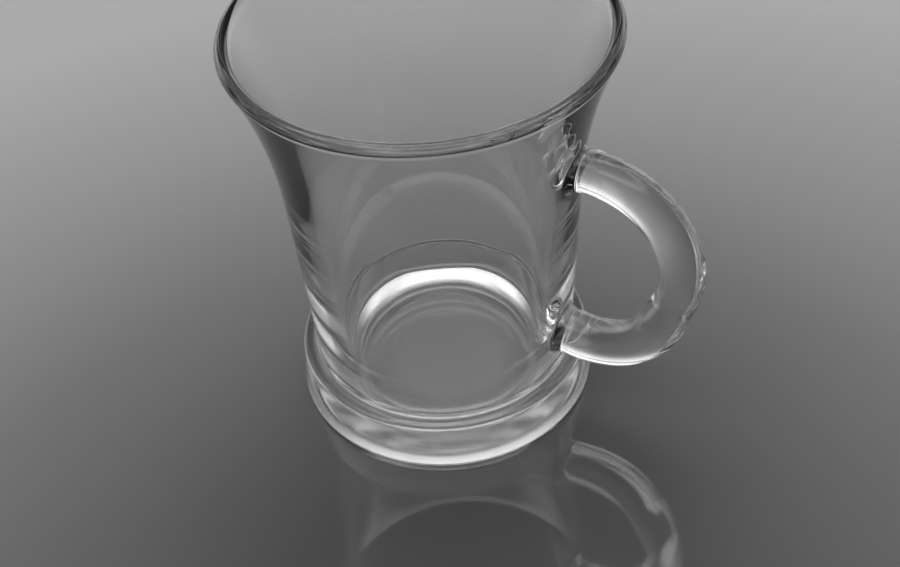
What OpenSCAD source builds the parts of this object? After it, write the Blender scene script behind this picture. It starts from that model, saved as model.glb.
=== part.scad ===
// A heavy clear glass mug: a bell-mouthed bowl bedded in a thick foot,
// with a round glass bar drawn out into an ear-shaped handle.
// The origin is the middle of the foot's underside, +Z is up, and the
// handle stands out along +X. All lengths are in millimetres.

/* [Bowl] */
// Height of the whole glass, from the table to the top of the lip
height = 106; // [92:1:124]
// Outer diameter of the wall just above the foot
neck_d = 66; // [60:0.5:70]
// Height at which the wall stops being a cone and begins to flare
flare_start = 64; // [54:1:76]
// Lean of the lower wall away from the vertical, in degrees
wall_lean = 3.3; // [1:0.1:5]
// How far the lip stands out past the line of the lower wall
lip_out = 6.95; // [5:0.05:10]
// Thickness of the lip, which is fully rounded
lip_t = 3.4; // [2.4:0.1:4.4]
// How far the lip's bead stands proud of each face of the wall below it
lip_bead = 0.12; // [0.05:0.01:0.3]
// Thickness of the wall where the flare begins
wall_mid_t = 4.8; // [3:0.1:6]
// Thickness of the wall just above the foot
wall_low_t = 6.4; // [4:0.1:9]
// Thickness of the bowl's glass in the middle of its floor
floor_t = 2; // [1.2:0.1:8]
// Rise of the dished inner floor where it meets its corner, in degrees
floor_rise = 6; // [2:0.5:10]
// Radius of the inner corner between wall and floor
floor_corner_r = 7; // [4:0.5:12]

/* [Foot] */
// How far the foot stands out past the bottom of the wall
foot_out = 5; // [4:0.1:8]
// Height of the foot's top edge
foot_h = 13.2; // [11:0.2:17]
// Radius of the foot's bottom edge
foot_edge_r = 1.5; // [0.8:0.1:2.5]
// Radius of the foot's top edge
foot_top_r = 1.6; // [0.8:0.1:2.2]
// Lean of the foot's side inwards, in degrees
foot_lean = 5.5; // [2:0.5:8]
// Radius of the hollow curve that leads from the foot up to the wall
cove_r = 2.2; // [1:0.1:3]
// Angle of the crease where that curve runs out on the wall, in degrees
cove_crease = 14; // [8:1:30]
// Thickness of the foot under the heel of the bowl
foot_under_t = 2.8; // [1.6:0.1:6]
// Radius of the bowl's heel, which is bedded in the foot
heel_r = 5; // [2:0.5:8]

/* [Handle] */
// Height of the bar's middle line where it leaves the upper weld
grip_top_h = 76.6; // [72:0.2:84]
// Height of the bar's middle line where it meets the lower weld
grip_low_h = 24.8; // [20:0.2:30]
// Bar diameter over the upper bend
bar_top_d = 10.4; // [8:0.1:12]
// Bar diameter over the lower bend, where the hot glass was set on first
bar_low_d = 11.6; // [9:0.1:13]
// Clear width between the wall and the bar, for the fingers
finger_gap = 23.2; // [20:0.2:30]
// How far the lower bend is drawn in behind the upper one
low_tuck = 3.4; // [1:0.2:6]
// Rise of the bar towards the wall at its lower end, in degrees
low_rise = 7.5; // [0:0.5:12]

/* [Welds] */
// Length of a weld, from the wall to the end of the bar
weld_t = 2.4; // [1.6:0.1:3.6]
// Radius of the hollow curve by which a weld spreads onto the wall
weld_flare_r = 1.5; // [0.8:0.1:1.6]

/* [Hidden] */
$fn = 96;
// Parts of the handle's drop that the two bends take as their radii,
// as far as there is room between the wall and the handle's reach
upper_bend_share = 0.462;
lower_bend_share = 0.366;
// Where a straight run meets an arc, they cross by this much, so that
// every edge is a clean one
hair = 0.02;
// An arc starts this far down inside the straight wall
lap = 4;
// Length and height of the faint rings where two runs of the bar meet
ring_l = 0.4;
ring_lift = 0.04;

// A point in the half plane of an outline is [radius, height].
function unit(v) = v / norm(v);
function side_r(z) = neck_d / 2 + (z - foot_h) * tan(wall_lean);
function cave_r(z) = cave_foot + (z - foot_h) * tan(cave_lean);

// Straight outer wall, its outward normal and its end at the flare
wall_n = [cos(wall_lean), -sin(wall_lean)];
wall_end = [side_r(flare_start), flare_start];
lap_z = flare_start - lap;

// Straight inner wall, which leans more because the glass thins upwards
cave_foot = side_r(foot_h) - wall_low_t;
cave_end = [side_r(flare_start) - wall_mid_t, flare_start];
cave_lean = atan2(cave_end[0] - cave_foot, flare_start - foot_h);
cave_n = [cos(cave_lean), -sin(cave_lean)];

// The lip is a full round. Each flare is the one arc that leaves its
// straight wall without a kink and meets the lip just inside its bead.
lip_r = lip_t / 2;
lip_c = [side_r(height) + lip_out - lip_r, height - lip_r];
brim_r = lip_r - lip_bead;
function flare_r(end, n, side) = let (w = end - lip_c)
    (w * w - brim_r * brim_r) / (2 * side * brim_r - 2 * w * n);
out_r = flare_r(wall_end, wall_n, 1);
out_c = wall_end + out_r * wall_n;
out_brim = lip_c + lip_t * unit(out_c - lip_c);
in_r = flare_r(cave_end, cave_n, -1);
in_c = cave_end + in_r * cave_n;
in_brim = lip_c - lip_t * unit(in_c - lip_c);

// Heel of the bowl, round against the foot's bed
heel_z = foot_under_t + heel_r - hair;
heel_c = [side_r(heel_z) - heel_r / cos(wall_lean), heel_z];
heel_touch = heel_c + (heel_r - hair) * wall_n;

// Inner floor, a shallow dish, and the corner that runs on from it
floor_h = foot_under_t + floor_t;
dish = tan(floor_rise / 2);
corner_in = cave_r(0) - floor_corner_r / cos(cave_lean) + floor_corner_r * sin(floor_rise);
corner_z = (floor_h + floor_corner_r * cos(floor_rise) + dish * corner_in)
    / (1 - dish * tan(cave_lean)) - hair;
corner_c = [cave_r(corner_z) - floor_corner_r / cos(cave_lean), corner_z];
corner_touch = corner_c + (floor_corner_r - hair) * cave_n;
dish_end = corner_c[0] + floor_corner_r * sin(floor_rise);
dish_r = dish_end / sin(floor_rise);

// Foot: bottom edge, leaning side, top edge, ledge and cove
edge_c = [neck_d / 2 + foot_out - foot_edge_r, foot_edge_r];
foot_n = [cos(foot_lean), sin(foot_lean)];
edge_touch = edge_c + (foot_edge_r - hair) * foot_n;
side_k = edge_c * foot_n + foot_edge_r;
top_z = foot_h - foot_top_r;
top_c = [(side_k - foot_top_r - top_z * foot_n[1]) / foot_n[0], top_z];
top_touch = top_c + (foot_top_r - hair) * foot_n;
ledge_z = foot_h - hair;
cove_z = foot_h + cove_r - 2 * hair;
cove_c = [side_r(cove_z) + cove_r * cos(cove_crease) / cos(wall_lean), cove_z];

// Handle, drawn in its own plane as [distance from the axis, height].
// Two circles carry the bends and the link is their common tangent.
top_r = bar_top_d / 2;
low_r = bar_low_d / 2;
grip_drop = grip_top_h - grip_low_h;
top_start = outer_r(grip_top_h) + weld_t;
low_end = outer_r(grip_low_h) + weld_t;
grip_mid_h = (grip_top_h + grip_low_h) / 2;
reach = outer_r(grip_mid_h) + finger_gap + top_r;
upper_r = min(upper_bend_share * grip_drop, reach - top_start);
low_room = reach - low_tuck - low_end - ring_l;
lower_r = min(lower_bend_share * grip_drop, low_room / (1 + sin(low_rise)));
upper_c = [reach - upper_r, grip_top_h - upper_r];
lower_x = reach - low_tuck - lower_r;
lower_c = [lower_x, grip_low_h - (lower_x - low_end) * tan(low_rise) + lower_r / cos(low_rise)];
centres = lower_c - upper_c;
link_l = sqrt(centres * centres - pow(upper_r - lower_r, 2));
link_a = atan2(-centres[1], centres[0]) + atan2(upper_r - lower_r, link_l);
link_from = upper_c + upper_r * [sin(link_a), cos(link_a)];
link_to = lower_c + lower_r * [sin(link_a), cos(link_a)];
low_a = 180 + low_rise;
top_stub = upper_c[0] - top_start;
low_touch = lower_c + lower_r * [sin(low_a), cos(low_a)];
low_stub = norm(low_touch - [low_end, grip_low_h]);

// Outer radius of the glass at a height, on the cone or on the flare
function outer_r(z) = z < flare_start ? side_r(z)
    : out_c[0] - sqrt(out_r * out_r - pow(z - out_c[1], 2));

// The heel and the straight wall, filled
module heel_block() {
    polygon([[0, foot_under_t], [heel_c[0], foot_under_t], heel_touch, wall_end, [0, flare_start]]);
    translate(heel_c) circle(r = heel_r);
}

// What the outer flare leaves away
module outer_hollow() {
    translate(out_c) circle(r = out_r + hair, $fn = 720);
}

// Everything inside the outer face of the bowl, cavity and all
module bowl_block() {
    difference() {
        union() {
            heel_block();
            polygon([[0, lap_z], [cave_end[0], lap_z], wall_end, out_brim, lip_c, [0, lip_c[1]]]);
        }
        outer_hollow();
    }
}

// The cavity up to where the flare begins
module well() {
    intersection() {
        translate([0, floor_h + dish_r]) circle(r = dish_r, $fn = 720);
        square([dish_end, corner_z + lap]);
    }
    polygon([[0, corner_z], corner_c, corner_touch,
        [cave_r(flare_start + lap), flare_start + lap], [0, flare_start + lap]]);
    translate(corner_c) circle(r = floor_corner_r);
}

// Glass of the flare, from inside the straight wall to the lip's middle
module flare_outline() {
    intersection() {
        polygon([[cave_end[0] - lap, lap_z], [(cave_r(lap_z) + side_r(lap_z)) / 2, lap_z],
            wall_end, out_brim, lip_c, in_brim, [cave_end[0] - lap, in_brim[1]]]);
        translate(in_c) circle(r = in_r + hair, $fn = 720);
    }
}

// Half of the bowl's section
module bowl_outline() {
    difference() {
        union() {
            difference() {
                heel_block();
                well();
            }
            flare_outline();
        }
        outer_hollow();
    }
    translate(lip_c) circle(r = lip_r);
}

module bowl() {
    color([0.80, 0.84, 0.85, 0.45])
    rotate_extrude($fn = 180) bowl_outline();
}

module foot_outline() {
    difference() {
        union() {
            polygon([[0, 0], [edge_c[0], 0], edge_touch, top_touch, [top_c[0], ledge_z],
                [cove_c[0], ledge_z], [side_r(cove_z) - hair, cove_z], [0, cove_z]]);
            translate(edge_c) circle(r = foot_edge_r);
            translate(top_c) circle(r = foot_top_r);
        }
        translate(cove_c) circle(r = cove_r);
    }
}

// The bed in the foot is the bowl's own outer shape.
module foot() {
    color([0.72, 0.76, 0.77, 0.55])
    rotate_extrude($fn = 180)
    difference() {
        foot_outline();
        bowl_block();
    }
}

// Stands a bar or a turned shape on the handle's line: at a point of
// its plane, with its axis running at an angle below the horizontal.
module along(point, angle) {
    translate([point[0], 0, point[1]]) rotate([0, 90 + angle, 0]) children();
}

// A bend of the bar about its centre, between two such angles
module bend(centre, r, bar_r, from, to) {
    translate([centre[0], 0, centre[1]])
    rotate([90, 0, 0])
    rotate([0, 0, 90 - to])
    rotate_extrude(angle = to - from, $fn = 180)
    translate([r, 0]) circle(r = bar_r, $fn = 64);
}

// The faint ring that closes the joint between two runs
module ring(point, angle, bar_r) {
    along(point, angle) translate([0, 0, -ring_l / 2])
        cylinder(h = ring_l, r = bar_r + ring_lift, $fn = 64);
}

module handle() {
    color([0.84, 0.88, 0.89, 0.50]) {
        if (top_stub > ring_l) {
            along([top_start, grip_top_h], 0) cylinder(h = top_stub, r = top_r, $fn = 64);
            ring([upper_c[0], grip_top_h], 0, top_r);
        }
        bend(upper_c, upper_r, top_r, 0, link_a);
        ring(link_from, link_a, top_r);
        along(link_from, link_a) cylinder(h = link_l, r1 = top_r, r2 = low_r, $fn = 64);
        ring(link_to, link_a, low_r);
        bend(lower_c, lower_r, low_r, link_a, low_a);
        ring(low_touch, low_a, low_r);
        along(low_touch, low_a) cylinder(h = low_stub, r = low_r, $fn = 64);
    }
}

// A weld: a short neck as thick as the bar, spreading to the wall
module weld(bar_r) {
    rotate_extrude($fn = 64)
    difference() {
        square([bar_r + weld_flare_r, weld_t + bar_r]);
        translate([bar_r + weld_flare_r, 0]) circle(r = weld_flare_r, $fn = 48);
    }
}

module weld_on_wall(point, angle, bar_r) {
    difference() {
        along(point, angle) weld(bar_r);
        rotate_extrude($fn = 180) bowl_block();
    }
}

module upper_weld() {
    color([0.66, 0.70, 0.71, 0.60])
    weld_on_wall([top_start, grip_top_h], 180, top_r);
}

module lower_weld() {
    color([0.66, 0.70, 0.71, 0.60])
    weld_on_wall([low_end, grip_low_h], low_a, low_r);
}

bowl();
foot();
handle();
upper_weld();
lower_weld();
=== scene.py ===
# %% [markdown]
# A heavy clear glass mug: a bell-mouthed bowl bedded in a thick foot, and a
# round glass bar drawn out into an ear-shaped handle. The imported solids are
# loaded first. They say where each piece is, and every piece made here
# stands for one of them, in the same place.

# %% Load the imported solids
import math

import bpy
from mathutils import Matrix, Vector


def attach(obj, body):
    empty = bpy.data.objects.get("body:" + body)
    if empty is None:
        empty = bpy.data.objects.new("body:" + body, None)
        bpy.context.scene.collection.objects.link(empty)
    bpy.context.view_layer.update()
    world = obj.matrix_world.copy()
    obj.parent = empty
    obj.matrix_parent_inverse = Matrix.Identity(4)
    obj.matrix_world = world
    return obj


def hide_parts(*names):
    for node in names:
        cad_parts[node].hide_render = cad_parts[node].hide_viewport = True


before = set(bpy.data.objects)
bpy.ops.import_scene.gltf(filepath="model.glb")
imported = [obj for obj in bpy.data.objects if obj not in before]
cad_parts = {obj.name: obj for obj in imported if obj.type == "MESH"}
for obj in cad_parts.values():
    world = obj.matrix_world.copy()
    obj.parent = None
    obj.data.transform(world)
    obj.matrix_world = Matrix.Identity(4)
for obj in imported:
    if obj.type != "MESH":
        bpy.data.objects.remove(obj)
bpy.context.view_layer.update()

# %% [markdown]
# A turned glass is known by its half section: the line that, turned once
# round the axis, gives the whole skin. Here it is worked out from a few
# sizes in millimetres, with the axis at zero and the table at height zero,
# so that it lies exactly where the solids are.

# %% Sizes of the glass, in millimetres
MM = 0.001  # one millimetre in Blender's metres
HEIGHT = 106.0
NECK_R = 33.0  # outside of the wall at the top of the foot
FLARE_START = 64.0  # height at which the straight wall begins to flare
WALL_LEAN = math.radians(3.3)
LIP_OUT = 6.95  # how far the lip stands out past the line of the straight wall
LIP_R = 1.7
LIP_BEAD = 0.12  # how far the lip stands proud of the faces that meet it
WALL_MID = 4.8  # thickness of the wall where the flare starts
WALL_LOW = 6.4  # thickness of the wall at the top of the foot
FLOOR_H = 4.8
FLOOR_RISE = math.radians(6)
CORNER_R = 7.0
FOOT_H = 13.2
FOOT_OUT = 5.0  # how far the foot stands out past the wall
FOOT_EDGE_R = 1.5
FOOT_TOP_R = 1.6
FOOT_LEAN = math.radians(5.5)
COVE_R = 2.2  # the hollow curve from the foot up to the wall
COVE_CREASE = math.radians(14)
FOOT_UNDER = 2.8  # thickness of the foot under the bowl
HEEL_R = 5.0


def side_r(z):
    """Radius of the straight outer wall at a height."""
    return NECK_R + (z - FOOT_H) * math.tan(WALL_LEAN)


CAVE_FOOT = side_r(FOOT_H) - WALL_LOW
CAVE_END = Vector((side_r(FLARE_START) - WALL_MID, FLARE_START))
CAVE_LEAN = math.atan2(CAVE_END.x - CAVE_FOOT, FLARE_START - FOOT_H)


def cave_r(z):
    """Radius of the straight inner wall at a height."""
    return CAVE_FOOT + (z - FOOT_H) * math.tan(CAVE_LEAN)


# %% Where the flares meet the lip
LIP = Vector((side_r(HEIGHT) + LIP_OUT - LIP_R, HEIGHT - LIP_R))


def flare(end, lean, side):
    """Centre and radius of the arc from a straight wall, without a kink, to the lip."""
    normal = Vector((math.cos(lean), -math.sin(lean)))
    brim = LIP_R - LIP_BEAD
    away = end - LIP
    radius = (away.dot(away) - brim * brim) / (2 * side * brim - 2 * away.dot(normal))
    return end + radius * normal, radius


WALL_END = Vector((side_r(FLARE_START), FLARE_START))
OUT_C, OUT_R = flare(WALL_END, WALL_LEAN, 1)
IN_C, IN_R = flare(CAVE_END, CAVE_LEAN, -1)


def heading(vector):
    """Angle of a vector of the half section, in radians from the outward direction."""
    return math.atan2(vector.y, vector.x)


def arc(centre, radius, start, end, steps):
    """Points on an arc, both ends included."""
    turn = (end - start) / steps
    angles = [start + turn * i for i in range(steps + 1)]
    return [centre + radius * Vector((math.cos(a), math.sin(a))) for a in angles]


def line(start, end, steps):
    """Points on a straight run, without its first."""
    return [start.lerp(end, (i + 1) / steps) for i in range(steps)]


BEAD_TURN = math.acos((LIP_R - LIP_BEAD) / LIP_R)
LIP_FROM = heading(OUT_C - LIP) - BEAD_TURN
LIP_TO = heading(IN_C - LIP) + math.pi + BEAD_TURN
print("flare radii", round(OUT_R, 2), round(IN_R, 2),
      "mm; lip centre", [round(v, 2) for v in LIP])

# %% The shared bed, where the bowl's heel lies in the foot
ROUND_STEPS = 12  # steps round a small corner
BED_STEPS = 6
BED_WALL_STEPS = 4
heel_z = FOOT_UNDER + HEEL_R
heel_c = Vector((side_r(heel_z) - HEEL_R / math.cos(WALL_LEAN), heel_z))
cove_z = FOOT_H + COVE_R
cove_out = COVE_R * math.cos(COVE_CREASE) / math.cos(WALL_LEAN)
cove_c = Vector((side_r(cove_z) + cove_out, cove_z))
cove_end = math.pi + COVE_CREASE - WALL_LEAN
cove = arc(cove_c, COVE_R, 1.5 * math.pi, cove_end, ROUND_STEPS)
crease = cove[-1]
bed = [Vector((0, FOOT_UNDER))]
bed += line(bed[0], Vector((heel_c.x, FOOT_UNDER)), BED_STEPS)
bed += arc(heel_c, HEEL_R, -math.pi / 2, -WALL_LEAN, ROUND_STEPS)[1:]
bed += line(bed[-1], crease, BED_WALL_STEPS)
print("bed has", len(bed), "points and ends at", [round(v, 2) for v in crease])

# %% [markdown]
# The half section is drawn as a glassmaker's mould would be cut: one point
# is set down and carried on, extrusion after extrusion, and the finished
# line is spun round the axis. Doubled points on the axis and at the seam
# are merged before the faces are turned outwards, so that light meets one
# closed skin. A spun line was chosen over a stack of cylinders because the
# wall, the lip and the floor then flow into each other without a step.

# %% Draw a half section and spin it
TURN_STEPS = 256
MERGE_GAP = 0.004 * MM
SMOOTH_UP_TO = math.radians(30)
print("a turned piece takes", TURN_STEPS, "steps round the axis")


def start_line(name, point):
    """A single vertex, ready to be carried on."""
    bpy.ops.object.select_all(action="DESELECT")
    bpy.ops.mesh.primitive_plane_add(size=MM)
    piece = bpy.context.object
    piece.name = piece.data.name = name
    bpy.ops.object.mode_set(mode="EDIT")
    bpy.ops.mesh.select_all(action="SELECT")
    bpy.ops.mesh.merge(type="CENTER")
    bpy.ops.transform.translate(value=(point.x * MM, 0, point.y * MM))
    return piece


def draw_on(points):
    """Carries the selected vertex along a line of the half section."""
    for here, there in zip(points, points[1:]):
        step = (there - here) * MM
        bpy.ops.mesh.extrude_vertices_move(
            TRANSFORM_OT_translate={"value": (step.x, 0, step.y)})


def turned(name, points):
    """Spins a half section once round the axis and closes it."""
    piece = start_line(name, points[0])
    draw_on(points)
    bpy.ops.mesh.select_all(action="SELECT")
    bpy.ops.mesh.spin(steps=TURN_STEPS, angle=2 * math.pi,
                      center=(0, 0, 0), axis=(0, 0, 1))
    bpy.ops.mesh.select_all(action="SELECT")
    bpy.ops.mesh.remove_doubles(threshold=MERGE_GAP)
    bpy.ops.mesh.normals_make_consistent(inside=False)
    bpy.ops.object.mode_set(mode="OBJECT")
    bpy.ops.object.shade_smooth_by_angle(angle=SMOOTH_UP_TO)
    print(name, "has", len(piece.data.polygons), "faces and",
          "is closed" if is_closed(piece) else "is open")
    return piece


def is_closed(piece):
    """True if every edge of a piece lies between two faces."""
    uses = {}
    for face in piece.data.polygons:
        for key in face.edge_keys:
            uses[key] = uses.get(key, 0) + 1
    return all(count == 2 for count in uses.values())


# %% [markdown]
# The bowl. The outside runs up from the heel as a slightly leaning cone and
# flares in one sweep to a fully rounded lip, which stands a hair proud of
# both faces as fire-polished lips do. The inside leans more, because the
# glass thins upwards, and turns into the floor with a wide round corner.
# That corner is what gathers the bright crescent at the back of the floor.

# %% Where the wall turns into the floor
CORNER_STEPS = 28
dish = math.tan(FLOOR_RISE / 2)
corner_out = CORNER_R / math.cos(CAVE_LEAN)
corner_z = (FLOOR_H + CORNER_R * math.cos(FLOOR_RISE)
            + dish * (cave_r(0) - corner_out + CORNER_R * math.sin(FLOOR_RISE))
            ) / (1 - dish * math.tan(CAVE_LEAN))
corner_c = Vector((cave_r(corner_z) - corner_out, corner_z))
corner = arc(corner_c, CORNER_R, -CAVE_LEAN, FLOOR_RISE - math.pi / 2, CORNER_STEPS)
dish_r = corner[-1].x / math.sin(FLOOR_RISE)
print("floor starts", round(corner[-1].x, 2), "mm out at", round(corner[-1].y, 2),
      "mm and dips to", FLOOR_H, "mm")

# %% The bowl
WALL_STEPS = 14
FLARE_STEPS = 40
LIP_STEPS = 30
DISH_STEPS = 16
FULL_TURN = 2 * math.pi
lip_outside = LIP + LIP_R * Vector((math.cos(LIP_FROM), math.sin(LIP_FROM)))
bowl_line = list(bed)
bowl_line += line(crease, WALL_END, WALL_STEPS)
bowl_line += arc(OUT_C, OUT_R, math.pi - WALL_LEAN,
                 heading(lip_outside - OUT_C) % FULL_TURN, FLARE_STEPS)[1:-1]
bowl_line += arc(LIP, LIP_R, LIP_FROM, LIP_TO, LIP_STEPS)
bowl_line += arc(IN_C, IN_R, heading(bowl_line[-1] - IN_C) % FULL_TURN,
                 math.pi - CAVE_LEAN, FLARE_STEPS)[1:]
bowl_line += line(bowl_line[-1], corner[0], WALL_STEPS) + corner[1:]
bowl_line += arc(Vector((0, FLOOR_H + dish_r)), dish_r,
                 FLOOR_RISE - math.pi / 2, -math.pi / 2, DISH_STEPS)[1:]
bowl = turned("clear_bowl", bowl_line)

# %% [markdown]
# The foot is a thick disc with a rounded lower edge, a side that leans in a
# little, a rounded upper edge and a ledge that curls up to the wall in a
# small hollow. Its upper side carries the bed, point for point the same as
# the bowl's heel, so that the two skins coincide there.

# %% The foot
UNDERSIDE_STEPS = 8
edge_c = Vector((NECK_R + FOOT_OUT - FOOT_EDGE_R, FOOT_EDGE_R))
side_n = Vector((math.cos(FOOT_LEAN), math.sin(FOOT_LEAN)))
top_z = FOOT_H - FOOT_TOP_R
side_out = edge_c.dot(side_n) + FOOT_EDGE_R - FOOT_TOP_R
top_c = Vector(((side_out - top_z * side_n.y) / side_n.x, top_z))
foot_line = [Vector((0, 0))]
foot_line += line(foot_line[0], Vector((edge_c.x, 0)), UNDERSIDE_STEPS)
foot_line += arc(edge_c, FOOT_EDGE_R, -math.pi / 2, FOOT_LEAN, ROUND_STEPS)[1:]
foot_line += arc(top_c, FOOT_TOP_R, FOOT_LEAN, math.pi / 2, ROUND_STEPS)
foot_line += cove + bed[-2::-1]
foot = turned("clear_foot", foot_line)

# %% [markdown]
# The handle is one bar of glass, thicker at its lower end, where it was set
# on first. It is drawn as it is made: a round end is carried round the upper
# bend, along a short link in which the bar grows, round the lower bend and
# back to the wall. Both bends are spins of the same ring of points, so that
# the bar stays round all the way.

# %% Sizes of the handle, in millimetres
GRIP_TOP = 76.6  # height of the bar's upper end
GRIP_LOW = 24.8
TOP_R = 5.2
LOW_R = 5.8
FINGER_GAP = 23.2
LOW_TUCK = 3.4  # how far the lower bend stays in from the upper
LOW_RISE = math.radians(7.5)  # how much the lower end rises to the wall
UPPER_SHARE = 0.462  # each bend's radius, as a share of the drop
LOWER_SHARE = 0.366
WELD_T = 2.4  # from the bar's end to the wall


def outer_r(z):
    """Outer radius of the bowl at a height."""
    if z < FLARE_START:
        return side_r(z)
    return OUT_C.x - math.sqrt(OUT_R ** 2 - (z - OUT_C.y) ** 2)


drop = GRIP_TOP - GRIP_LOW
top_start = Vector((outer_r(GRIP_TOP) + WELD_T, GRIP_TOP))
low_end = Vector((outer_r(GRIP_LOW) + WELD_T, GRIP_LOW))
reach = outer_r((GRIP_TOP + GRIP_LOW) / 2) + FINGER_GAP + TOP_R
upper_r = min(UPPER_SHARE * drop, reach - top_start.x)
lower_r = LOWER_SHARE * drop
upper_c = Vector((reach - upper_r, GRIP_TOP - upper_r))
lower_x = reach - LOW_TUCK - lower_r
lower_z = (GRIP_LOW - (lower_x - low_end.x) * math.tan(LOW_RISE)
           + lower_r / math.cos(LOW_RISE))
lower_c = Vector((lower_x, lower_z))
between = lower_c - upper_c
link_l = math.sqrt(between.length_squared - (upper_r - lower_r) ** 2)
link_turn = math.atan2(-between.y, between.x) + math.atan2(upper_r - lower_r, link_l)
low_turn = math.pi + LOW_RISE
low_touch = lower_c + lower_r * Vector((math.sin(low_turn), math.cos(low_turn)))
low_stub = (low_touch - low_end).length
print("bends", round(upper_r, 2), round(lower_r, 2), "mm; link", round(link_l, 2),
      "mm at", round(math.degrees(link_turn), 1), "degrees; stub", round(low_stub, 2), "mm")

# %% Rings of points, carried on
RING_POINTS = 72
print("a ring of the bar has", RING_POINTS, "points")


def ring(name, middle, turn, radius):
    """A ring of points across the bar, which faces outwards and down by a turn."""
    bpy.ops.object.select_all(action="DESELECT")
    bpy.ops.mesh.primitive_circle_add(vertices=RING_POINTS, radius=radius * MM,
                                      location=(middle.x * MM, 0, middle.y * MM),
                                      rotation=(0, math.pi / 2 + turn, 0))
    piece = bpy.context.object
    piece.name = piece.data.name = name
    return piece


def carry(turn, length, start_r, end_r, steps, middle):
    """Extrudes the selected ring straight on, growing from one radius to another."""
    along = Vector((math.cos(turn), 0, -math.sin(turn))) * length * MM / steps
    here = Vector((middle.x * MM, 0, middle.y * MM))
    for i in range(steps):
        here += along
        bpy.ops.mesh.extrude_edges_move(TRANSFORM_OT_translate={"value": tuple(along)})
        ease = [0.5 - 0.5 * math.cos(math.pi * k / steps) for k in (i, i + 1)]
        grow = [start_r + (end_r - start_r) * e for e in ease]
        bpy.ops.transform.resize(value=(grow[1] / grow[0],) * 3,
                                 center_override=tuple(here))


def spin_bar(angle, centre, steps):
    """Spins the selected ring round a bend of the handle."""
    bpy.ops.mesh.spin(steps=steps, angle=angle,
                      center=(centre.x * MM, 0, centre.y * MM), axis=(0, 1, 0))


# %% The handle
UPPER_STEPS = 56
LINK_STEPS = 8
LOWER_STEPS = 44
STUB_STEPS = 3
handle = ring("clear_handle", top_start, 0, TOP_R)
bpy.ops.object.transform_apply(location=True, rotation=True, scale=True)
bpy.ops.object.mode_set(mode="EDIT")
bpy.ops.mesh.select_all(action="SELECT")
spin_bar(-link_turn, upper_c, UPPER_STEPS)
link_from = upper_c + upper_r * Vector((math.sin(link_turn), math.cos(link_turn)))
carry(link_turn, link_l, TOP_R, LOW_R, LINK_STEPS, link_from)
spin_bar(link_turn - low_turn, lower_c, LOWER_STEPS)
carry(low_turn, low_stub, LOW_R, LOW_R, STUB_STEPS, low_touch)
bpy.ops.mesh.select_all(action="SELECT")
bpy.ops.mesh.remove_doubles(threshold=MERGE_GAP)
bpy.ops.mesh.fill_holes(sides=0)
bpy.ops.mesh.normals_make_consistent(inside=False)
bpy.ops.object.mode_set(mode="OBJECT")
bpy.ops.object.shade_smooth_by_angle(angle=SMOOTH_UP_TO)
print("handle reaches", round(max(v.co.x for v in handle.data.vertices) / MM, 2), "mm and",
      "is closed" if is_closed(handle) else "is open")

# %% [markdown]
# The welds are the short collars by which the hot bar was pressed on. Each
# starts as rings inside each other in the plane of the bar's end. A
# shrinkwrap then carries them to the wall, the inner ones all the way and
# the outer ones by a growing share, which gives the hollow curve of glass
# that flows from the bar out onto the wall.

# %% Rings of a weld, and how far each reaches to the wall
WELD_FLARE = 1.5  # how far a weld spreads past the bar, in millimetres
FLARE_RINGS = 14
END_RINGS = 8


def weld_rings(bar_r):
    """Radius of each ring of a weld, and the share of the way that it goes to the wall."""
    radii, shares = [bar_r], [0.0]
    for i in range(1, FLARE_RINGS + 1):
        t = i / FLARE_RINGS
        radii.append(bar_r + WELD_FLARE * t * t)
        shares.append(2 * t - t * t)
    for k in range(1, END_RINGS):
        radii.append(radii[FLARE_RINGS] * (1 - k / END_RINGS))
        shares.append(1.0)
    return radii, shares


print("a weld has", len(weld_rings(TOP_R)[0]), "rings")

# %% Carry the rings to the wall
WRAP_REACH = 8 * MM
WELD_SMOOTH_UP_TO = math.radians(40)


def onto_wall(piece, shares):
    """Carries each ring of a weld its share of the way to the bowl's wall."""
    group = piece.vertex_groups.new(name="reach")
    for i, share in enumerate(shares):
        group.add(list(range(i * RING_POINTS, (i + 1) * RING_POINTS)), share, "REPLACE")
    wrap = piece.modifiers.new("onto_wall", "SHRINKWRAP")
    wrap.target = bowl
    wrap.wrap_method = "PROJECT"
    wrap.use_project_z = True
    wrap.use_positive_direction = wrap.use_negative_direction = True
    wrap.project_limit = WRAP_REACH
    wrap.vertex_group = "reach"
    bpy.ops.object.modifier_apply(modifier=wrap.name)
    piece.vertex_groups.clear()


# %% The welds


def weld(name, middle, turn, bar_r):
    """A collar from the end of the bar to the wall."""
    piece = ring(name, middle, turn, bar_r)
    bpy.ops.object.mode_set(mode="EDIT")
    bpy.ops.mesh.select_all(action="SELECT")
    radii, shares = weld_rings(bar_r)
    for before, after in zip(radii, radii[1:]):
        bpy.ops.mesh.extrude_edges_move(TRANSFORM_OT_translate={"value": (0, 0, 0)})
        bpy.ops.transform.resize(value=(after / before,) * 3,
                                 center_override=(middle.x * MM, 0, middle.y * MM))
    bpy.ops.object.mode_set(mode="OBJECT")
    onto_wall(piece, shares)
    bpy.ops.object.transform_apply(location=True, rotation=True, scale=True)
    bpy.ops.object.mode_set(mode="EDIT")
    bpy.ops.mesh.select_all(action="SELECT")
    bpy.ops.mesh.fill_holes(sides=0)
    bpy.ops.mesh.normals_make_consistent(inside=False)
    bpy.ops.object.mode_set(mode="OBJECT")
    bpy.ops.object.shade_smooth_by_angle(angle=WELD_SMOOTH_UP_TO)
    xs = [v.co.x / MM for v in piece.data.vertices]
    print(name, "lies between", round(min(xs), 2), "and", round(max(xs), 2), "mm and",
          "is closed" if is_closed(piece) else "is open")
    return piece


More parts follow.
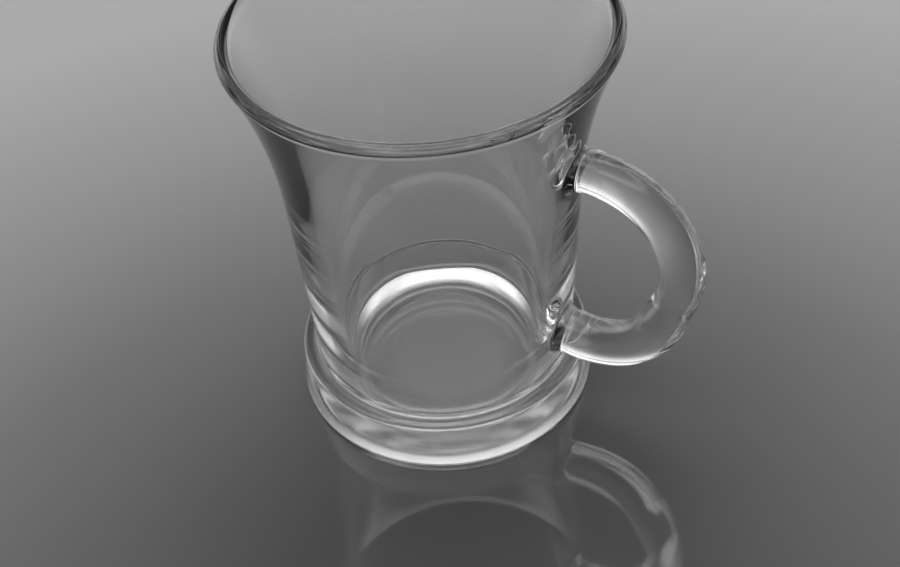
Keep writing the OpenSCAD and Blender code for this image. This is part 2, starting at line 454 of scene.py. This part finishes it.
upper_weld = weld("clear_upper_weld", top_start, 0, TOP_R)
lower_weld = weld("clear_lower_weld", low_end, low_turn, LOW_R)

# %% [markdown]
# Shader maths is easier to read as sums than as a web of nodes. A Wire holds
# one output of a node and can be added, multiplied or compared, and a Recipe
# holds the nodes of one finish.

# %% Wires and recipes
GLASS_IOR = 1.5
print("glass bends light by an index of", GLASS_IOR)


class Wire:
    """One output of a node, which can be used in sums."""

    def __init__(self, recipe, socket):
        self.recipe, self.socket = recipe, socket

    def sum_with(self, operation, *values):
        """A Math node on these values."""
        return self.recipe.wire("ShaderNodeMath", settings={"operation": operation},
                                inputs=dict(enumerate(values)))

    def __add__(self, other):
        return self.sum_with("ADD", self, other)

    __radd__ = __add__

    def __sub__(self, other):
        return self.sum_with("SUBTRACT", self, other)

    def __rsub__(self, other):
        return self.sum_with("SUBTRACT", other, self)

    def __mul__(self, other):
        return self.sum_with("MULTIPLY", self, other)

    __rmul__ = __mul__

    def __truediv__(self, other):
        return self.sum_with("DIVIDE", self, other)

    def __lt__(self, other):
        return self.sum_with("LESS_THAN", self, other)

    def __gt__(self, other):
        return self.sum_with("GREATER_THAN", self, other)


class Recipe:
    """The nodes of one finish, or of the sky."""

    def __init__(self, holder):
        holder.use_nodes = True
        self.holder, self.tree = holder, holder.node_tree
        self.tree.nodes.clear()

    def node(self, kind, settings=None, inputs=None):
        """A node of one kind. Its settings come first, then its values and links."""
        made = self.tree.nodes.new(kind)
        for key, value in (settings or {}).items():
            if key == "stops":
                ramp = made.color_ramp.elements
                while len(ramp) < len(value):
                    ramp.new(0.5)
                for stop, (place, tone) in zip(ramp, value):
                    stop.position, stop.color = place, (tone, tone, tone, 1)
            else:
                setattr(made, key, value)
        for key, value in (inputs or {}).items():
            if isinstance(value, Wire):
                self.tree.links.new(value.socket, made.inputs[key])
            else:
                made.inputs[key].default_value = value
        return made

    def wire(self, kind, output=0, settings=None, inputs=None):
        """One output of a new node."""
        return Wire(self, self.node(kind, settings, inputs).outputs[output])

    def place(self):
        """A point of the piece and its three coordinates, in metres."""
        point = self.wire("ShaderNodeTexCoord", "Object")
        split = self.node("ShaderNodeSeparateXYZ", inputs={0: point})
        return point, *(Wire(self, s) for s in split.outputs)

    def length(self, *parts):
        """Length of a vector given by its parts."""
        vector = self.wire("ShaderNodeCombineXYZ", inputs=dict(enumerate(parts)))
        return self.wire("ShaderNodeVectorMath", "Value",
                         {"operation": "LENGTH"}, {0: vector})

    def noise(self, point, scale, detail=1.0, rough=0.5):
        """Soft noise at a scale."""
        return self.wire("ShaderNodeTexNoise", 0, inputs={
            "Vector": point, "Scale": scale, "Detail": detail, "Roughness": rough})

    def ramp(self, value, stops):
        """A tone that follows a value, by stops given as pairs of place and tone."""
        return self.wire("ShaderNodeValToRGB", 0, {"stops": stops}, {0: value})

    def clear_skin(self, **inputs):
        """A clear skin of glass, which lets light through."""
        named = {key.replace("_", " "): value for key, value in inputs.items()}
        return self.wire("ShaderNodeBsdfPrincipled", inputs={
            "IOR": GLASS_IOR, "Transmission Weight": 1.0, **named})

    def cover(self, surface):
        """Makes a shader the finish itself."""
        self.node("ShaderNodeOutputMaterial", inputs={"Surface": surface})
        return self.holder


# %% [markdown]
# Clear glass is hardly a colour at all. What tells the eye that it was once
# hot is the way its skin bends the light: slow waves left by the mould on the
# walls, rings on the floor where the plunger stood, tighter waves along the
# drawn bar, and a pressed foot that is nearly still. The waves are bumps of a
# few hundredths of a millimetre, and a trace of wear dulls the skin in places.
# Moving the mesh itself would do the same, but with a great many more faces.

# %% Clear glass
GLASS_TINT = (0.95, 0.955, 0.953, 1)
GLASS_WEAR = 0.012  # roughness of the most worn places
WAVE_UNIT = 0.01 * MM  # waves are given in hundredths of a millimetre


def glass(name, waves, alpha=None):
    """Clear glass with a wavy skin and a trace of wear."""
    recipe = Recipe(bpy.data.materials.new(name))
    point, x, y, z = recipe.place()
    height = waves(recipe, point, x, y, z)
    skin = recipe.wire("ShaderNodeBump", "Normal", inputs={
        "Height": height, "Distance": WAVE_UNIT, "Strength": 1.0})
    wear = recipe.ramp(recipe.noise(point, 90.0, 4.0, 0.6), [(0.5, 0.0), (0.72, 1.0)])
    masks = {"Alpha": alpha(recipe, x, y, z)} if alpha else {}
    return recipe.cover(recipe.clear_skin(
        Base_Color=GLASS_TINT, Roughness=wear * GLASS_WEAR, Normal=skin, **masks))


# %% Waves of the bar, the foot and the welds


def swell(recipe, point, scale, height):
    """Soft waves at a scale, of a height in hundredths of a millimetre."""
    return recipe.noise(point, scale) * height


def bar_waves(recipe, point, x, y, z):
    """Waves along the drawn bar."""
    return swell(recipe, point, scale=75.0, height=1.8)


def still_waves(recipe, point, x, y, z):
    """The pressed foot is nearly still."""
    return swell(recipe, point, scale=50.0, height=0.5)


def weld_waves(recipe, point, x, y, z):
    """Short waves on the collars, which were pressed on hot."""
    return swell(recipe, point, scale=140.0, height=2.4)


# %% Waves and floor rings of the bowl
RING_GAP = 3.1 * MM
RINGS_BELOW = 12.0 * MM
RINGS_WITHIN = 24.0 * MM
RING_HEIGHT = 0.5
RING_WANDER = 5.0


def bowl_waves(recipe, point, x, y, z):
    """Slow waves on the wall, and rings on the floor."""
    radius = recipe.length(x, y)
    slow = swell(recipe, point, scale=45.0, height=2.4)
    wander = swell(recipe, point, scale=160.0, height=0.9)
    rings = recipe.wire("ShaderNodeMath", settings={"operation": "SINE"}, inputs={
        0: radius * (FULL_TURN / RING_GAP) + wander * RING_WANDER})
    floor = (z < RINGS_BELOW) * (radius < RINGS_WITHIN)
    return slow + rings * floor * RING_HEIGHT


# %% [markdown]
# Where two gathers of hot glass met, no skin is left between them. The pieces
# are separate here, so the skins that touch get a seam through which light
# passes without noticing it. Under the two round welds a seam made of whole
# faces would have a stepped edge, so there the bowl's glass carries a mask
# instead, which opens the skin only where the weld sits. The foot's underside
# is finely ground, as it often is on a heavy glass.

# %% Seam and ground underside
GROUND_ROUGH = 0.07
GRIT = 0.1  # how much rougher the grit makes some places


def fused():
    """The place where two pieces of hot glass became one."""
    recipe = Recipe(bpy.data.materials.new("fused_seam"))
    return recipe.cover(recipe.clear_skin(Base_Color=(1, 1, 1, 1), Alpha=0.0))


def ground():
    """The ground underside of the foot."""
    recipe = Recipe(bpy.data.materials.new("ground_underside"))
    grit = recipe.noise(recipe.wire("ShaderNodeTexCoord", "Object"), 900.0, 3.0, 0.6)
    return recipe.cover(recipe.clear_skin(
        Base_Color=(1, 1, 1, 1), Roughness=grit * GRIT + GROUND_ROUGH))


# %% The bowl's skin under the welds
SKIN_GAP = 0.02  # the mask stays this far inside the weld's edge, in millimetres
UPPER_WALL = 35.4 * MM  # radii between the wall's inner and outer skin
LOWER_WALL = 31.0 * MM
BETWEEN_WELDS = 50.0 * MM  # a height between the two welds


def under_weld(recipe, x, y, z):
    """One everywhere but on the outer wall under the two welds."""
    radius = recipe.length(x, y)
    upper = recipe.length(y, z - GRIP_TOP * MM) < (TOP_R + WELD_FLARE - SKIN_GAP) * MM
    across = ((z - GRIP_LOW * MM) * math.cos(LOW_RISE)
              + (x - low_end.x * MM) * math.sin(LOW_RISE))
    lower = recipe.length(y, across) < (LOW_R + WELD_FLARE - SKIN_GAP) * MM
    outside = (x > 0.0) * ((radius > UPPER_WALL) * upper
                           + (radius > LOWER_WALL) * (z < BETWEEN_WELDS) * lower)
    return 1 - outside


# %% Which faces lie in a seam
SKIN_BETWEEN_R = 28.2  # between the wall's inner and outer skin, low down
UNDER_FLOOR = FLOOR_H - 0.5
BED_FROM = FOOT_UNDER - 0.1
BED_WITHIN = NECK_R + 0.2


def bowl_seam(face):
    """True for a face of the heel, which lies in the foot's bed."""
    radius = math.hypot(face.center.x, face.center.y) / MM
    height = face.center.z / MM
    return height < crease.y and (radius > SKIN_BETWEEN_R or height < UNDER_FLOOR)


def foot_seam(face):
    """True for a face of the foot's bed."""
    radius = math.hypot(face.center.x, face.center.y) / MM
    inward = (face.normal.x * face.center.x + face.normal.y * face.center.y) < 0
    bedded = face.center.z / MM > BED_FROM and radius < BED_WITHIN
    return bedded and (inward or radius < SKIN_BETWEEN_R)


def bar_end(face):
    """True for the many-sided face that closes an end of the bar."""
    return len(face.vertices) > 4


def weld_end(face):
    """True for a face on the wall or on the bar's end."""
    return face.index >= RING_POINTS * FLARE_RINGS


# %% Dress the pieces
UNDERSIDE_BELOW = 0.01 * MM
seam = fused()


def dress(piece, finish, is_seam):
    """Gives a piece its glass, and the fused seam where it touches its neighbours."""
    piece.data.materials.append(finish)
    piece.data.materials.append(seam)
    count = 0
    for face in piece.data.polygons:
        if is_seam(face):
            face.material_index = 1
            count += 1
    print(piece.name, "has", count, "seam faces")


dress(bowl, glass("bowl_glass", bowl_waves, alpha=under_weld), bowl_seam)
dress(foot, glass("foot_glass", still_waves), foot_seam)
foot.data.materials.append(ground())
underside = [face for face in foot.data.polygons if face.center.z < UNDERSIDE_BELOW]
for face in underside:
    face.material_index = 2
print("the underside has", len(underside), "ground faces")
dress(handle, glass("handle_glass", bar_waves), bar_end)
weld_glass = glass("weld_glass", weld_waves)
dress(upper_weld, weld_glass, weld_end)
dress(lower_weld, weld_glass, weld_end)

# %% [markdown]
# Each piece now takes the place of its solid and rides on the one body,
# because nothing on a mug moves.

# %% Replace the solids
for piece, node, slot in (
        (bowl, "bowl", "bowl_glass"),
        (foot, "foot", "foot_glass"),
        (handle, "handle", "handle_glass"),
        (upper_weld, "upper_weld", "weld_glass"),
        (lower_weld, "lower_weld", "weld_glass")):
    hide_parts(node)
    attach(piece, "root")
    print(piece.name, "stands for", node)

# %% [markdown]
# Glass has no look of its own: it shows what stands around it, bent. In the
# photograph it stands on a polished pale table, and what makes it readable is
# the order of light and dark above it. Behind the glass lies a low bright
# strip, which draws the edges of the foot and of the handle, then a dark belt
# with a faint field in it. High up, a bright soft band goes all round and is
# dimmer overhead. It comes further down at the sides and lights the crescent
# on the bowl's floor, and on the handle's side it is narrower, for the dark
# inside of the bend. The table mirrors a little. Its grey carries a painted
# shade, darker in a soft pool in front of the glass, and a painted light,
# paler right under it, where the light through the glass gathers. One soft
# lamp adds the shadow, and is hidden from everything that is mirrored.

# %% Table
PHOTO_TURN = math.radians(30)  # the camera's turn round the glass
PAINTED_SHADE_AHEAD = 0.11  # from the glass to the middle of the painted pool of shade, in metres
PAINTED_SHADE_REACH = 0.6
PAINTED_LIGHT_REACH = 40 * MM  # how far the painted light under the glass reaches
PAINTED_LIGHT_GAIN = 0.6
TABLE_R = 3.0
TABLE_DROP = 0.1 * MM  # the table lies a hair under the foot
bpy.ops.object.select_all(action="DESELECT")
bpy.ops.mesh.primitive_circle_add(vertices=96, radius=TABLE_R, fill_type="NGON",
                                  location=(0, 0, -TABLE_DROP))
table = bpy.context.object
table.name = table.data.name = "pale_table"
paint = Recipe(bpy.data.materials.new("pale_table"))
x, y = paint.place()[1:3]
# painted shade: the table's grey is darkest in a soft pool just in front of the glass,
# pales away from it and darkens a little again at the far edge
from_painted_shade = paint.length(x - PAINTED_SHADE_AHEAD * math.sin(PHOTO_TURN),
                         y + PAINTED_SHADE_AHEAD * math.cos(PHOTO_TURN))
tone = paint.ramp(from_painted_shade / PAINTED_SHADE_REACH, [
    (0, 0.09), (0.1, 0.105), (0.25, 0.21), (0.5, 0.49), (0.75, 0.52), (1, 0.46)])
# painted light: a paler spot under the glass, standing in for the light that the glass
# gathers onto the table
painted_light = paint.ramp(paint.length(x, y) / PAINTED_LIGHT_REACH, [(0.35, 1.0), (0.6, 0.55), (0.93, 0.0)])
table.data.materials.append(paint.cover(paint.wire("ShaderNodeBsdfPrincipled", inputs={
    "Base Color": tone + painted_light * PAINTED_LIGHT_GAIN, "Roughness": 0.04, "IOR": 1.65})))
print("table lies at", round(table.location.z / MM, 2), "mm")

# %% Directions of the sky
sky = Recipe(bpy.data.worlds.new("sky"))
bpy.context.scene.world = sky.holder
spread = sky.node("ShaderNodeSeparateXYZ", inputs={
    0: sky.wire("ShaderNodeTexCoord", "Generated")})
east, north, up = (Wire(sky, s) for s in spread.outputs)
height = sky.wire("ShaderNodeMath", settings={"operation": "ARCSINE"},
                  inputs={0: up}) / (math.pi / 2)
along = sky.length(east, north)
facing = (north * math.cos(PHOTO_TURN) - east * math.sin(PHOTO_TURN)) / along
sideways = (east * math.cos(PHOTO_TURN) + north * math.sin(PHOTO_TURN)) / along


def sector(direction, edge, full):
    """One within full degrees of a direction, and nothing past edge degrees from it."""
    return sky.ramp(direction, [(math.cos(math.radians(edge)), 0.0),
                                (math.cos(math.radians(full)), 1.0)])


behind = sector(facing, 60, 36)
right = sector(sideways, 62, 38)

# %% Light of the sky
SKY_TOP = 2.5  # the strongest light. A ramp holds shares of it, from 0 to 1.


def glow(stops):
    """Light of the sky by its height, given as pairs of degrees and strength."""
    return sky.ramp(height, [(degrees / 90, light / SKY_TOP)
                             for degrees, light in stops]) * SKY_TOP


back_light = glow([
    (0, 0.3), (5, 1.6), (13, 1.6), (19, 0.6), (26, 0.15), (32, 0.2), (40, 0.2),
    (50, 0.0), (57, 0.05), (63, 2.5), (70, 2.5), (77, 0.9), (90, 0.6)])
round_light = glow([
    (0, 0.12), (44, 0.12), (48, 0.4), (55, 2.4), (63, 2.4), (69, 0.9), (77, 0.5),
    (90, 0.5)])
right_light = glow([
    (0, 0.12), (44, 0.12), (49, 0.4), (55, 2.0), (59, 1.8), (66, 0.6), (90, 0.6)])
around = right_light * right + round_light * (1 - right)
backdrop = sky.wire("ShaderNodeBackground", inputs={
    "Color": back_light * behind + around * (1 - behind), "Strength": 1.0})
sky.node("ShaderNodeOutputWorld", inputs={"Surface": backdrop})
print("the sky takes", len(sky.tree.nodes), "nodes")

# %% Lamp
LAMP_UP = math.radians(66)
LAMP_AWAY = 1.2
LAMP_SIZE = 0.8
LAMP_POWER = 2.8
lamp_turn = PHOTO_TURN + math.pi
away = Vector((math.cos(LAMP_UP) * math.sin(lamp_turn),
               -math.cos(LAMP_UP) * math.cos(lamp_turn), math.sin(LAMP_UP)))
bpy.ops.object.light_add(type="AREA", location=away * LAMP_AWAY,
                         rotation=away.to_track_quat("Z", "Y").to_euler())
lamp = bpy.context.object
lamp.name = "soft_lamp"
lamp.data.size = LAMP_SIZE
lamp.data.energy = LAMP_POWER
lamp.visible_camera = lamp.visible_glossy = lamp.visible_transmission = False
print("lamp hangs at", [round(v, 2) for v in lamp.location])

# %% [markdown]
# The camera stands where the photograph was taken from: about 43 degrees above
# the table and a little over three glass heights away, turned so that the
# handle points to the right and slightly forward. Its place and lens were
# solved from the round outlines of the lip and the foot.

# %% Camera
CAMERA_PLACE = Vector((0.0022, -0.2748, 0.2834))  # in metres, before the turn
LENS = 58.9
SENSOR = 36.0
PITCH = math.radians(43)
ROLL = math.radians(-4.57)
bpy.ops.object.camera_add()
camera = bpy.context.object
camera.data.sensor_width = SENSOR
camera.data.lens = LENS
turn = Matrix.Rotation(PHOTO_TURN, 4, "Z")
camera.matrix_world = (Matrix.Translation(turn @ CAMERA_PLACE) @ turn
                       @ Matrix.Rotation(math.pi / 2 - PITCH, 4, "X")
                       @ Matrix.Rotation(ROLL, 4, "Z"))
bpy.context.scene.camera = camera
print("camera stands at", [round(v, 3) for v in camera.matrix_world.translation])

# %% [markdown]
# A line of sight through the wall, the floor and the foot passes many skins of
# glass and is turned back by some of them, so light is followed further than
# Blender does by itself. Otherwise the thick places turn black.

# %% How far light is followed
scene = bpy.context.scene
scene.cycles.max_bounces = 28
scene.cycles.transmission_bounces = 28
scene.cycles.glossy_bounces = 12
scene.cycles.transparent_max_bounces = 32
scene.view_settings.view_transform = "Standard"
print("light is followed for", scene.cycles.max_bounces, "turns")
